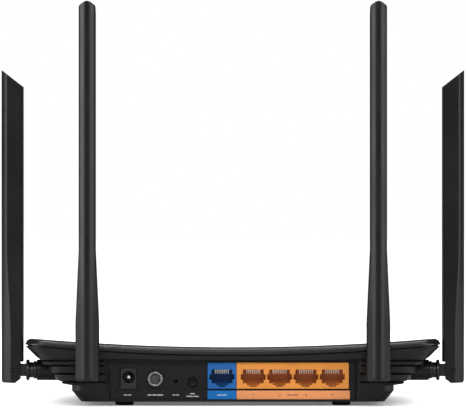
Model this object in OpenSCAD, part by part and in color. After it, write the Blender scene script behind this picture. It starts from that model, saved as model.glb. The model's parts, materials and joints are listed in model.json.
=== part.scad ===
// Wireless router with four hinged antennas, seen with its ports towards -Y.
// Millimetres, +Z up. The origin is on the surface that the feet stand on, under the middle of the case.

/* [Case] */
// Width of the case over the two wing tips
case_w = 231.5; // [228:0.5:232]
// Depth of the case
case_d = 144; // [142:0.5:150]
// Corner radius of the case seen from above
corner_r = 14; // [12:0.5:18]
// Height of the top's rear edge at the middle
top_h = 32.7; // [32.4:0.1:34]
// Height of the seam between the shells at the middle of the rear edge
seam_h = 28.3; // [28:0.1:28.6]
// How much higher the top is at the wing tips than at the middle
wing_rise = 5.2; // [4.4:0.1:5.4]
// Fall of the top towards the front, in degrees
top_fall = 2.2; // [1.5:0.1:2.4]
// Wall thickness of the shells
wall = 2; // [1.8:0.1:2.2]
// Height of the rubber feet under the base
foot_h = 2.2; // [2:0.1:2.4]

/* [Antennas] */
// Length of each rear antenna, from its foot to its tip
rear_length = 208.7; // [190:0.5:215]
// Length of each side antenna, from its foot to its tip
side_length = 174.8; // [160:0.5:185]
// Width of the blade at its foot
blade_foot_w = 13.2; // [12.8:0.1:14]
// Width of the blade above its taper
blade_top_w = 9.4; // [9:0.1:10]
// Depth of the blade, away from the case
blade_d = 12.34; // [12:0.02:12.6]
// Slant of the blade's tip, in degrees
tip_slant = 38; // [30:1:42]
// Distance of the rear antennas from the middle plane
rear_x = 80; // [79:0.5:81]
// Height of the rear antennas' swivel axis
rear_z = 21.7; // [21:0.1:22]
// Height of the side antennas' swivel axis
side_z = 19.1; // [19:0.1:19.4]
// Place of the side antennas along the case's depth
side_y = -45; // [-46:0.5:-43]
// Radius of the swivel's shaft
shaft_r = 3.35; // [3.3:0.01:3.36]

/* [Ports] */
// Width of the single network jack
wan_w = 15.9; // [15.6:0.1:15.9]
// Distance between the centres of the four ganged jacks
lan_pitch = 14.6; // [14.4:0.1:14.8]
// Height of the network jacks
jack_h = 14.6; // [14.4:0.1:14.8]
// Depth of the network jacks
jack_d = 16; // [15:0.5:17]
// Bore of the power inlet
dc_bore = 6.3; // [6.2:0.1:6.5]
// Diameter of the power button's cap
power_d = 8.9; // [8.5:0.1:9]
// Travel of the power button
power_travel = 2; // [1.5:0.1:2.2]
// Diameter of the small push button
pair_d = 4.9; // [4.6:0.1:5]

/* [Wall mounting] */
// Distance between the two keyholes
keyhole_pitch = 100; // [96:1:104]
// Radius of each keyhole's entry
keyhole_r = 4; // [3.8:0.1:4.2]

/* [Hidden] */
$fn = 48;
antennas = ["rear_left", "rear_right", "side_left", "side_right"];

// ---- Case shape -------------------------------------------------------------------
half_w = case_w / 2;
rear_y = -case_d / 2;
front_y = case_d / 2;
fall = tan(top_fall);
seam_rise = wing_rise + 0.7;    // the seam climbs a little more than the top does
bevel = 3.4;                    // width of the bevel round the top
edge_steps = 20;                // pieces along the front and rear edges
corner_steps = 8;               // pieces round each corner
seam_gap = 0.02;                // the shells meet without touching

// Rear half of a rounded rectangle, from left to right.
function rear_half(hx, y0, r) = concat(
    [for (i = [0:corner_steps]) let (a = 180 + 90 * i / corner_steps)
        [-hx + r + r * cos(a), y0 + r + r * sin(a)]],
    [for (i = [1:edge_steps - 1]) [(hx - r) * (2 * i / edge_steps - 1), y0]],
    [for (i = [0:corner_steps]) let (a = 270 + 90 * i / corner_steps)
        [hx - r + r * cos(a), y0 + r + r * sin(a)]]);

// A rounded rectangle: its front half mirrors its rear half, so that the two pair up across the case.
function outline(hx, y0, y1, r) = let (h = rear_half(hx, y0, r), last = len(h) - 1)
    concat(h, [for (i = [last:-1:0]) [h[i][0], y0 + y1 - h[i][1]]]);

// Height of a sheet that climbs towards the wings and falls towards the front.
function bowl(p, z, rise, share = 1) =
    z + rise * pow(p[0] / half_w, 2) - share * fall * (p[1] - rear_y);

// One closed ring round the case. ix, iy and jy are its insets at the sides, rear and front.
function ring(ix, iy, jy, r, z, rise = 0, share = 0) =
    [for (p = outline(half_w - ix, rear_y + iy, front_y - jy, r))
        [p[0], p[1], bowl(p, z, rise, share)]];

// The vertical lip over the seam is tall at the rear and front, and thin at the wing tips.
function lip(p) = let (s = max(0, (abs(p[0]) - half_w + corner_r) / corner_r)) 2.2 - 1.8 * s;
function lip_ring(inset) = [for (p = outline(half_w - inset, rear_y + inset, front_y - inset, corner_r))
    [p[0], p[1], bowl(p, seam_h, seam_rise) + lip(p)]];

// A closed solid through the rings, capped by strips that run from rear to front.
module loft(rings) {
    n = len(rings[0]);
    half = n / 2;
    last = (len(rings) - 1) * n;
    sides = [for (k = [0:len(rings) - 2], i = [0:n - 1])
        let (a = k * n + i, b = k * n + (i + 1) % n)
        each [[a, a + n, b + n], [a, b + n, b]]];
    first_cap = [for (i = [0:half - 2]) each [[i, i + 1, n - 2 - i], [i, n - 2 - i, n - 1 - i]]];
    last_cap = [for (f = first_cap) [last + f[2], last + f[1], last + f[0]]];
    polyhedron([for (r = rings) each r], concat(first_cap, sides, last_cap), convexity = 6);
}

module mirrored() {
    children();
    mirror([1, 0, 0]) children();
}

// A cylinder along +Y from y0 to y1.
module rod_y(x, z, r, y0, y1) {
    translate([x, y0, z]) rotate([-90, 0, 0]) cylinder(r = r, h = y1 - y0);
}

// ---- Places on the rear panel -------------------------------------------------------
panel_y = -65;                 // face of the recessed port panel
panel_t = 2;
strip_y = -66;                 // face of the strip under the ports
rim_z = 3.4;                   // top of the rim below that strip
strip_z = 8.4;                 // top of the strip
alcove_top = 25.5;
board_top = 9.4;               // the ports stand on the board
board_t = 1.6;
jack_y = panel_y - 1.5;        // the jacks stand a little proud of the panel
wan_x0 = -14;
lan_x0 = 2.1;
lan_w = 4 * lan_pitch + 3.8;
lan_centres = [for (i = [0:3]) lan_x0 + lan_w / 2 + (i - 1.5) * lan_pitch];
dc_x = -57.85;
dc_z = 15.8;
dc_size = [8.9, 14, 11.1];
power_x = -43;
power_z = 14.85;
reset_x = -31.6;
reset_z = 13.4;
reset_r = 1;
pair_x = -22.2;
pair_z = 12.9;
foot_places = [for (x = [-60.3, 60.3], y = [-56, 44]) [x, y]];
foot_r = 5.3;
foot_seat = 0.5;
screw_places = [for (x = [-72, 72], y = [-50, 40]) [x, y]];
post_top = 14;
board_screws = [for (x = [-61, 61], y = [-36, 43]) [x, y]];
keyhole_y = 4;
led_y = 44;
led_places = [for (i = [0:5]) -30 + 12 * i];

// ---- Antenna joints, in a frame with +X away from the case and the pivot at the origin --
pivot_out = 13.5;              // pivot to the boss's face
boss_r = 5.8;
boss_len = 15.6;
bore_r = shaft_r + 0.05;
boss_end = pivot_out + boss_len;
side_x = 123.1;
rear_out = -88.5;
pin_r = 1.25;
tongue_t = 5.6;
coax_r = 0.9;
foot_drop = 7.2;               // pivot to the blade's foot

// ---- Shells -------------------------------------------------------------------------
module top_cover() {
    window = [3.5, 1.7, 8];
    color("#1b1c1e") difference() {
        union() {
            loft([
                ring(bevel + wall, bevel + wall, bevel + wall, corner_r - bevel,
                     top_h - wall, wing_rise, 1),
                ring(wall + 0.2, wall + 0.2, wall + 0.2, corner_r - wall, seam_h, seam_rise, 1),
                ring(0, 0, 0, corner_r, seam_h, seam_rise, 1),
                lip_ring(0.2),
                ring(bevel, bevel - 0.8, bevel - 0.8, corner_r - bevel, top_h, wing_rise, 1)]);
            for (p = screw_places)
                translate([p[0], p[1], post_top + 0.2])
                    cylinder(r = 3.2, h = bowl(p, top_h, wing_rise) - wall / 2 - post_top - 0.2);
        }
        for (p = screw_places)
            translate([p[0], p[1], post_top]) cylinder(r = 1.2, h = 6);
        for (x = led_places)
            translate([x, led_y, top_h - 4]) cube(window, center = true);
    }
}

// Rings of the bottom shell, from the foot of the base up the outside and down the inside.
tilt = 0.5;                     // share of the top's fall that the terraces follow
wing_tilt = 0.75;               // and the share where the wing begins
function base_rings() = [
    ring(31.4, 5, 20, 7, foot_h),
    ring(26.2, 3.5, 14, 9, 8.2),
    ring(26.2, 3.5, 14, 9, 11.3, 0, tilt),
    ring(21.5, 3.2, 11.5, 12, 11.9, 0, tilt),
    ring(20.2, 3, 11, 12, 13, 0, tilt),
    ring(17.2, 2.8, 10.4, 12, 14.4, 0, tilt),
    ring(16.4, 2.7, 10.2, 12, 17.8, 0, tilt),
    ring(13.6, 2.4, 9.4, 12, 18.4, 0, tilt),
    ring(13.2, 2.3, 9.2, 12, 22.4, 0, tilt),
    ring(10, 2, 8.2, 12, 22.9, 0, tilt),
    ring(9.2, 1.8, 8, 12, 25.1, 0, tilt),
    ring(6.6, 1.2, 6, 13, 25.5, 1.8, wing_tilt),
    ring(0.25, 0.6, 0.6, corner_r, seam_h - 0.7, seam_rise, 1),
    ring(0.5, 1.1, 1.1, corner_r, seam_h - 0.65, seam_rise, 1),
    ring(0.5, 1.1, 1.1, corner_r, seam_h - seam_gap, seam_rise, 1),
    ring(wall + 0.4, wall + 0.9, wall + 0.9, corner_r - wall, seam_h - seam_gap, seam_rise, 1),
    ring(11.4, 3.8, 8.6, 10, 26.6, 1.8, wing_tilt),
    ring(12.2, 4.2, 10.4, 10, 24.2, 0, tilt),
    ring(15.4, 4.5, 11.4, 10, 23.4, 0, tilt),
    ring(15.8, 4.6, 11.6, 10, 19.6, 0, tilt),
    ring(18.6, 4.8, 12.4, 10, 19, 0, tilt),
    ring(19.6, 5, 12.6, 10, 15, 0, tilt),
    ring(28.4, 5.4, 16, 7, 13, 0, tilt),
    ring(28.4, 5.4, 16, 7, 8.6),
    ring(32.6, 6.6, 21, 5, foot_h + wall)];

// The recess that holds the ports, and the tray that closes it inside the case.
module alcove_cut() {
    translate([0, 0, rim_z]) linear_extrude(alcove_top - rim_z)
        polygon([[-72.5, -76], [72.5, -76], [71.5, -70], [67.5, panel_y],
                 [-67.5, panel_y], [-71.5, -70]]);
}
module alcove_tray() {
    translate([0, 0, foot_h + 0.4]) linear_extrude(alcove_top + 1.5 - foot_h - 0.4)
        polygon([[-72.9, -67], [72.9, -67], [69.5, panel_y + panel_t], [-69.5, panel_y + panel_t]]);
}

// Boss round a swivel's shaft, and its bore, along +X from the pivot inwards.
module boss() {
    translate([-boss_end, 0, 0]) rotate([0, 90, 0]) cylinder(r = boss_r, h = boss_len);
}
module boss_bore() {
    translate([-boss_end - 1, 0, 0]) rotate([0, 90, 0]) cylinder(r = bore_r, h = boss_len + 2);
}
module at_antenna(name) {
    if (name == "side_left") translate([-side_x, side_y, side_z]) rotate([0, 0, 180]) children();
    if (name == "side_right") translate([side_x, side_y, side_z]) children();
    if (name == "rear_left") translate([-rear_x, rear_out, rear_z]) rotate([0, 0, -90]) children();
    if (name == "rear_right") translate([rear_x, rear_out, rear_z]) rotate([0, 0, -90]) children();
}

module keyhole() {
    cylinder(r = keyhole_r, h = wall + 2);
    translate([-2.1, 0, 0]) cube([4.2, 8, wall + 2]);
    translate([0, 8, 0]) cylinder(r = 2.1, h = wall + 2);
}

// Cooling slots through the floor.
module floor_slots() {
    mirrored() for (i = [0:8])
        translate([14, -38 + 8.5 * i, foot_h - 1]) cube([26, 2.2, wall + 2]);
}

module panel_holes() {
    gap = 0.15;
    depth = panel_t + 6;
    translate([wan_x0 - gap, panel_y - 3, board_top - gap])
        cube([lan_x0 - wan_x0 + lan_w + 2 * gap, depth, jack_h + 2 * gap]);
    translate([dc_x - dc_size[0] / 2 - gap, panel_y - 3, board_top - gap])
        cube([dc_size[0] + 2 * gap, depth, dc_size[2] + 2 * gap]);
    rod_y(power_x, power_z, power_d / 2 + 0.35, panel_y - 3, panel_y + 4);
    rod_y(pair_x, pair_z, pair_d / 2 + 0.25, panel_y - 3, panel_y + 4);
    rod_y(reset_x, reset_z, reset_r, panel_y - 3, panel_y + 4);
}

module bottom_shell() {
    color("#17181a") difference() {
        union() {
            difference() {
                union() {
                    loft(base_rings());
                    alcove_tray();
                }
                alcove_cut();
            }
            translate([-67.5, strip_y, rim_z - 0.6])
                cube([135, panel_y - strip_y + 1, strip_z - rim_z + 0.6]);
            for (a = antennas) at_antenna(a) boss();
            for (p = screw_places) translate([p[0], p[1], foot_h + 1])
                cylinder(r = 3.6, h = post_top - foot_h - 1);
            for (p = board_screws) translate([p[0], p[1], foot_h + 1])
                cylinder(r = 2.6, h = board_top - board_t - foot_h - 1);
        }
        for (a = antennas) at_antenna(a) boss_bore();
        panel_holes();
        floor_slots();
        for (x = [-keyhole_pitch / 2, keyhole_pitch / 2])
            translate([x, keyhole_y, foot_h - 1]) keyhole();
        for (p = foot_places) translate([p[0], p[1], foot_h - 1]) cylinder(r = foot_r, h = 1 + foot_seat);
        for (p = screw_places) translate([p[0], p[1], foot_h - 1]) {
            cylinder(r = 2.8, h = 4);
            cylinder(r = 1.4, h = 20);
        }
        for (p = board_screws) translate([p[0], p[1], foot_h + wall]) cylinder(r = 1.1, h = 10);
        translate([-30, -58, foot_h - 1]) cube([60, 14, 1.3]);
    }
}

module rubber_feet() {
    color("#0c0c0c") for (p = foot_places) translate([p[0], p[1], 0]) {
        cylinder(r1 = foot_r - 0.8, r2 = foot_r - 0.1, h = 0.8);
        translate([0, 0, 0.8]) cylinder(r = foot_r - 0.1, h = foot_h + foot_seat - 0.8);
    }
}

module base_label() {
    color("#c9cbcc") translate([-29.8, -57.8, foot_h + 0.1]) cube([59.6, 13.6, 0.2]);
}

module screw(head_r, head_h, shank_r, shank_len) {
    difference() {
        cylinder(r = head_r, h = head_h);
        for (a = [0, 90]) rotate([0, 0, a]) translate([-head_r * 0.6, -0.3, -0.1])
            cube([head_r * 1.2, 0.6, 0.9]);
    }
    translate([0, 0, head_h]) cylinder(r = shank_r, h = shank_len);
}
module case_screws() {
    color("#3a3b3d") for (p = screw_places) translate([p[0], p[1], foot_h + 1]) screw(2.5, 2, 1.2, 12);
}

// ---- Board and what stands on it ------------------------------------------------------
board_x = 66;
board_y0 = panel_y + panel_t + 0.4;
board_y1 = 48;

module main_pcb() {
    color("#1f5c3a") difference() {
        translate([-board_x, board_y0, board_top - board_t])
            cube([2 * board_x, board_y1 - board_y0, board_t]);
        for (p = board_screws) translate([p[0], p[1], board_top - board_t - 1])
            cylinder(r = 1.4, h = board_t + 2);
    }
}
module pcb_screws() {
    color("#b9bbbd") for (p = board_screws)
        translate([p[0], p[1], board_top + 1.6]) rotate([180, 0, 0]) screw(2.3, 1.6, 1.1, 4.6);
}

// Mouth of a network jack, in the X-Z plane about its centre line, with the latch slot below.
mouth_top = 20 - board_top;
mouth_low = 12.4 - board_top;
mouth_depth = 13;
module mouth() {
    polygon([[-5.75, mouth_top], [-5.75, 8], [-6.9, 8], [-6.9, 5], [-5.75, 5], [-5.75, mouth_low],
             [-3.5, mouth_low], [-3.5, 2], [-2, 2], [-2, 1], [2, 1], [2, 2], [3.5, 2], [3.5, mouth_low],
             [5.75, mouth_low], [5.75, 5], [6.9, 5], [6.9, 8], [5.75, 8], [5.75, mouth_top]]);
}
module jack_block(x0, w, centres) {
    difference() {
        translate([x0, jack_y, board_top]) cube([w, jack_d, jack_h]);
        for (x = centres) translate([x, jack_y + mouth_depth, board_top])
            rotate([90, 0, 0]) linear_extrude(mouth_depth + 1) mouth();
    }
}
module wan_jack() {
    color("#1673b8") jack_block(wan_x0, wan_w, [wan_x0 + wan_w / 2]);
}
module lan_jack() {
    color("#f0932f") jack_block(lan_x0, lan_w, lan_centres);
}

// Eight sprung wires hang from the roof of a mouth and slope down towards its back.
module contact_row(x) {
    pitch = 1.02;
    for (i = [0:7]) translate([x + (i - 3.5) * pitch - 0.22, jack_y + 1.4, board_top + mouth_top - 0.05])
        rotate([-14, 0, 0]) translate([0, 0, -0.4]) cube([0.44, 8.6, 0.4]);
}
module wan_contacts() {
    color("#d9b45b") contact_row(wan_x0 + wan_w / 2);
}
module lan_contacts() {
    color("#d9b45b") for (x = lan_centres) contact_row(x);
}

module wan_label() {
    color("#1b86cc") translate([wan_x0, strip_y - 0.4, rim_z + 0.1]) cube([wan_w, 0.4, 4.9]);
}
module lan_label() {
    color("#f2a468") translate([lan_x0, strip_y - 0.4, rim_z + 0.1]) cube([lan_w + 0.5, 0.4, 4.9]);
}

module dc_jack() {
    color("#101012") difference() {
        translate([dc_x - dc_size[0] / 2, panel_y - 0.6, board_top]) cube(dc_size);
        rod_y(dc_x, dc_z, dc_bore / 2, panel_y - 2, panel_y - 0.6 + 9.5);
    }
}
module dc_pin() {
    color("#c8cacc") {
        rod_y(dc_x, dc_z, 1.05, panel_y + 0.6, panel_y + 8.9);
        translate([dc_x, panel_y + 0.6, dc_z]) sphere(r = 1.05);
    }
}

// The pressed cap still stands 1.5 mm proud of the panel.
power_front = panel_y - power_travel - 1.5;
module power_button() {
    r = power_d / 2;
    color("#2c2d2f") {
        difference() {
            union() {
                rod_y(power_x, power_z, r, power_front, panel_y + 3.4);
                rod_y(power_x, power_z, r + 0.7, panel_y + panel_t + 0.2, panel_y + panel_t + 1.2);
            }
            // shallow dish in the cap's face
            translate([power_x, power_front - 9.6, power_z]) sphere(r = 10.4, $fn = 96);
        }
        translate([power_x - 1.5, panel_y + 3.3, power_z - 1.5]) cube([3, 6, 3]);
    }
}
module power_switch() {
    y0 = panel_y + 7.6;
    color("#26282b") difference() {
        translate([power_x - 4.2, y0, board_top]) cube([8.4, 10, 8.6]);
        translate([power_x - 1.7, y0 - 1, power_z - 1.7]) cube([3.4, power_travel + 4, 3.4]);
    }
}

// Small push switch that stands upright behind the panel, with a bore for its plunger.
module push_switch(x, z, y0) {
    color("#2a2a2c") difference() {
        translate([x - 3, y0, board_top]) cube([6, 3.4, z + 3 - board_top]);
        rod_y(x, z, 1.6, y0 - 1, y0 + 1.8);
    }
}
module reset_switch() { push_switch(reset_x, reset_z, panel_y + 6); }
module pairing_switch() { push_switch(pair_x, pair_z, panel_y + 6); }
module reset_plunger() {
    color("#d8d4c8") rod_y(reset_x, reset_z, 1.5, panel_y + 3.6, panel_y + 6.8);
}
module pairing_button() {
    color("#202124") {
        rod_y(pair_x, pair_z, pair_d / 2, panel_y - 1.5, panel_y + 3.4);
        rod_y(pair_x, pair_z, pair_d / 2 + 0.6, panel_y + panel_t + 0.2, panel_y + panel_t + 1);
        rod_y(pair_x, pair_z, 1.5, panel_y + 3.3, panel_y + 6.8);
    }
}

module light_pipe() {
    bar_z = 21;
    color([0.85, 0.9, 0.9, 0.6]) {
        translate([-33, led_y - 1.5, bar_z]) cube([66, 3, 2]);
        for (x = led_places) {
            top = bowl([x, led_y + 0.7], top_h, wing_rise) - 0.05;
            translate([x - 1.6, led_y - 0.7, bar_z + 1.9]) cube([3.2, 1.4, top - bar_z - 1.9]);
            translate([x - 1.2, led_y - 0.7, board_top + 1.4]) cube([2.4, 1.4, bar_z - board_top - 1.3]);
        }
    }
}
module status_leds() {
    color("#e8f4e0") for (x = led_places) translate([x - 0.8, led_y - 0.6, board_top]) cube([1.6, 1.2, 0.9]);
}

module shield_can(x, y, w, d, h) {
    t = 0.4;
    color("#aeb2b5") difference() {
        translate([x, y, board_top]) cube([w, d, h]);
        translate([x + t, y + t, board_top - 1]) cube([w - 2 * t, d - 2 * t, h + 1 - t]);
    }
}
module shield_can_left() { shield_can(-48, -14, 26, 34, 3.4); }
module shield_can_right() { shield_can(24, -14, 26, 34, 3.4); }

module chip(x, y, size, h) {
    translate([x - size / 2, y - size / 2, board_top]) cube([size, size, h]);
}
module processor_chip() { color("#202226") chip(0, 4, 14, 1.2); }
module switch_chip() { color("#202226") chip(8, -26, 12, 1.1); }
module memory_chips() {
    color("#202226") {
        translate([-14, -24, board_top]) cube([10, 7, 1]);
        translate([-8, 20, board_top]) cube([16, 9, 1.1]);
    }
}
module heat_sink() {
    size = 20;
    fins = 7;
    color("#9fa3a6") translate([-size / 2, 4 - size / 2, board_top + 1.2]) {
        cube([size, size, 1.8]);
        for (i = [0:fins - 1])
            translate([i * (size - 1.2) / (fins - 1), 0, 1.7]) cube([1.2, size, 6]);
    }
}
module port_transformers() {
    color("#1a1b1d") for (x = [-6, 16, 34, 52]) translate([x - 7, -46.5, board_top]) cube([14, 9, 5]);
}
module capacitors() {
    color("#2b2f3a") for (p = [[-44, -40, 3.2, 9], [-35, -40, 3.2, 9], [-53, -44, 4, 8]])
        translate([p[0], p[1], board_top]) cylinder(r = p[2], h = p[3]);
}
module power_coil() {
    color("#3c3d40") difference() {
        translate([-29, -46, board_top]) cube([7, 7, 4]);
        translate([-25.5, -42.5, board_top + 3]) cylinder(r = 2.2, h = 2);
    }
}

// ---- Antennas -------------------------------------------------------------------------
// Section of the blade across its length, with its faceted face towards +X. cut thins it all round.
function section(w, cut = 0) = let (h = w / 2 - cut, out = blade_d / 2 - cut, back = -blade_d / 2 + cut)
    concat(
        [for (s = [-1, 1]) [out, s * 0.23 * h]],
        [[out - 2.4, 0.83 * h], [out - 3.2, 0.95 * h], [out - 4.2, h],
         [back + 1, h], [back, h - 1], [back, 1 - h], [back + 1, -h],
         [out - 4.2, -h], [out - 3.2, -0.95 * h], [out - 2.4, -0.83 * h]]);

taper_low = 23.6;
taper_high = 64.8;
module blade(cut, low, high) {
    translate([0, 0, low]) linear_extrude(taper_low - low) polygon(section(blade_foot_w, cut));
    hull() {
        translate([0, 0, taper_low - 0.01]) linear_extrude(0.01) polygon(section(blade_foot_w, cut));
        translate([0, 0, taper_high]) linear_extrude(0.01) polygon(section(blade_top_w, cut));
    }
    translate([0, 0, taper_high]) linear_extrude(high - taper_high) polygon(section(blade_top_w, cut));
}

module antenna_shell(length) {
    tip = length - foot_drop;
    slot = tongue_t / 2 + 0.15;
    color("#202123") difference() {
        blade(0, -foot_drop, tip);
        // slanted tip, with its high point away from the case
        translate([blade_d / 2, -20, tip]) rotate([0, 90 - tip_slant - 90, 0])
            translate([-40, 0, 0]) cube([80, 40, 40]);
        difference() {
            blade(1.2, 7, tip - 12);
            translate([-10, -10, -10]) cube([20, 20, 17]);
        }
        // slot for the swivel's tongue, open towards the case and downwards
        translate([-10, -slot, -20]) cube([13.8, 2 * slot, 23.8]);
        // relief in front of the swivel's flange
        translate([-14.3, -10, -20]) cube([10, 20, 24.7]);
        translate([-4.3, -10, -5.2]) rotate([0, -52, 0]) translate([-6, 0, -6]) cube([6, 20, 12]);
        translate([0, 0, 3]) cylinder(r = 1.2, h = 6);
        rotate([90, 0, 0]) cylinder(r = pin_r, h = 20, center = true);
    }
}

module swivel() {
    color("#191a1c") difference() {
        union() {
            intersection() {
                union() {
                    rotate([90, 0, 0]) cylinder(r = 3.5, h = tongue_t, center = true);
                    translate([-8, -tongue_t / 2, -3.5]) cube([8, tongue_t, 7]);
                }
                translate([-12, 0, 0]) rotate([0, 90, 0]) cylinder(r = 6, h = 20);
            }
            rotate([0, -90, 0]) {
                translate([0, 0, 7.6]) cylinder(r = 5.85, h = 1.9);
                translate([0, 0, 9.4]) cylinder(r = 4.4, h = 2.6);
                translate([0, 0, 11.9]) cylinder(r = 5, h = pivot_out - 11.9 - 0.2);
                translate([0, 0, 13]) cylinder(r = shaft_r, h = boss_end + 2 - 13);
            }
        }
        rotate([90, 0, 0]) cylinder(r = pin_r + 0.05, h = 20, center = true);
        translate([-boss_end - 3, 0, 0]) rotate([0, 90, 0]) cylinder(r = 1.4, h = boss_end - 1);
        clip_groove();
    }
}
clip_t = 0.8;
module clip_groove() {
    translate([-boss_end - 0.2 - clip_t, 0, 0]) rotate([0, 90, 0]) difference() {
        cylinder(r = shaft_r + 1, h = clip_t);
        translate([0, 0, -1]) cylinder(r = shaft_r - 0.7, h = clip_t + 2);
    }
}
module clip() {
    color("#a4a7aa") translate([-boss_end - 0.2 - clip_t + 0.05, 0, 0]) rotate([0, 90, 0]) difference() {
        cylinder(r = shaft_r + 1.2, h = clip_t - 0.1);
        translate([0, 0, -1]) cylinder(r = shaft_r - 0.6, h = clip_t + 2);
        translate([-1.6, -10, -1]) cube([3.2, 10, clip_t + 2]);
    }
}
module hinge_pin() {
    color("#8f9396") rotate([90, 0, 0]) cylinder(r = pin_r, h = blade_foot_w - 0.8, center = true);
}
module radiator(length) {
    color("#b3713c") translate([-0.4, -2.6, 26]) cube([0.8, 5.2, 0.62 * length]);
    color("#2a2a2a") translate([0, 0, 9]) cylinder(r = coax_r, h = 17);
}

// Each lead leaves its swivel along the axis and drops to its socket on the board.
side_route = [[-112, side_y, side_z], [-104, side_y, side_z], [-98, side_y, side_z],
              [-91, side_y, side_z], [-88, -44, 18.8],
              [-84, -41, 18], [-80, -37, 16.5], [-76, -32, 15], [-71, -27, 13.4], [-65, -23, 12.2],
              [-60, -20.6, 11.4], [-56.6, -20, 11.2], [-53.5, -20, 11.2]];
rear_route = [[-rear_x, -76, rear_z], [-rear_x, -68, rear_z], [-rear_x, -61, rear_z],
              [-rear_x, -56, rear_z], [-79.6, -52, 21],
              [-78.4, -47, 19.4], [-76, -42.6, 17.4], [-72.6, -39, 15.4], [-68.6, -35.4, 13.6],
              [-65, -31, 12.2], [-60, -28, 11.5], [-56.6, -27, 11.2], [-53.5, -27, 11.2]];
socket_places = [for (s = [-1, 1], y = [-27, -20]) [s * 52, y]];

function unit(v) = v / norm(v);
function way(pts, i) = unit(pts[min(i + 1, len(pts) - 1)] - pts[max(i - 1, 0)]);
function round_ring(pts, i, r, n) = let (
        t = way(pts, i),
        side = unit(cross(t, [0, 0, 1])),
        up = cross(side, t))
    [for (k = [0:n - 1]) pts[i] + r * (cos(360 * k / n) * side + sin(360 * k / n) * up)];
module tube(pts, r, n = 8) {
    last = len(pts) - 1;
    polyhedron(
        [for (i = [0:last]) each round_ring(pts, i, r, n)],
        concat(
            [for (i = [0:last - 1], k = [0:n - 1]) let (a = i * n + k, b = i * n + (k + 1) % n)
                each [[a, a + n, b + n], [a, b + n, b]]],
            [[for (k = [0:n - 1]) k], [for (k = [n - 1:-1:0]) last * n + k]]));
}
module coax(name) {
    route = name == "side_left" || name == "side_right" ? side_route : rear_route;
    flip = name == "side_right" || name == "rear_right" ? 1 : 0;
    color("#0f0f10") mirror([flip, 0, 0]) tube(route, coax_r);
}
module coax_sockets() {
    color("#c9a44f") for (p = socket_places)
        translate([p[0] - 1.3, p[1] - 1.5, board_top]) cube([2.6, 3, 2.6]);
}

// ---- Output ---------------------------------------------------------------------------
module antenna_piece(name, piece) {
    length = name == "rear_left" || name == "rear_right" ? rear_length : side_length;
    at_antenna(name) {
        if (piece == "shell") antenna_shell(length);
        if (piece == "swivel") swivel();
        if (piece == "hinge_pin") hinge_pin();
        if (piece == "clip") clip();
        if (piece == "radiator") radiator(length);
    }
    if (piece == "coax") coax(name);
}

top_cover();
bottom_shell();
rubber_feet();
case_screws();
base_label();
main_pcb();
pcb_screws();
wan_jack();
wan_contacts();
lan_jack();
lan_contacts();
wan_label();
lan_label();
dc_jack();
dc_pin();
power_button();
power_switch();
reset_switch();
reset_plunger();
pairing_button();
pairing_switch();
light_pipe();
status_leds();
shield_can_left();
shield_can_right();
heat_sink();
processor_chip();
switch_chip();
memory_chips();
port_transformers();
capacitors();
power_coil();
coax_sockets();
for (a = antennas, p = ["shell", "swivel", "hinge_pin", "clip", "radiator", "coax"])
    antenna_piece(a, p);
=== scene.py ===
import json
import math

import bmesh
import bpy
from mathutils import Matrix, Vector


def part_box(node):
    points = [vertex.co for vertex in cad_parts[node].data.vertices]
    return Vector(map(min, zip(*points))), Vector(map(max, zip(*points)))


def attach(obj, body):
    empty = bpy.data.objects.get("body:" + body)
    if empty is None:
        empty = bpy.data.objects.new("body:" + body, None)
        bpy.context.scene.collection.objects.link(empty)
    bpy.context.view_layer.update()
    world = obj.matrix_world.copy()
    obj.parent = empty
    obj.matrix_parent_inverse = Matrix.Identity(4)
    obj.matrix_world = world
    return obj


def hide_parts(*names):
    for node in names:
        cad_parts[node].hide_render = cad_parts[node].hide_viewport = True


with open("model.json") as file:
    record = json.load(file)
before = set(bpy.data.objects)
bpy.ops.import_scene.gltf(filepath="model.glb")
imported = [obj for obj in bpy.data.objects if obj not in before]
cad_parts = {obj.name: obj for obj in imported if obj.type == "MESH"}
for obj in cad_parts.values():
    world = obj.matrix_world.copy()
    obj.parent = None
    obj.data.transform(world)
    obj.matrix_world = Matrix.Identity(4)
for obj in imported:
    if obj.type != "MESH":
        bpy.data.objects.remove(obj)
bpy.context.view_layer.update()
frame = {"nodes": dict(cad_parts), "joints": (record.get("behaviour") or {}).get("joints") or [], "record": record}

# Shapes are worked out in millimetres, and each piece is scaled to metres when it is made.
MM = 0.001
ANTENNAS = ["rear_left", "rear_right", "side_left", "side_right"]
NODES = frame["nodes"]
RECORD = frame["record"]


def box_mm(node):
    lo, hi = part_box(node)
    return lo / MM, hi / MM


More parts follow.
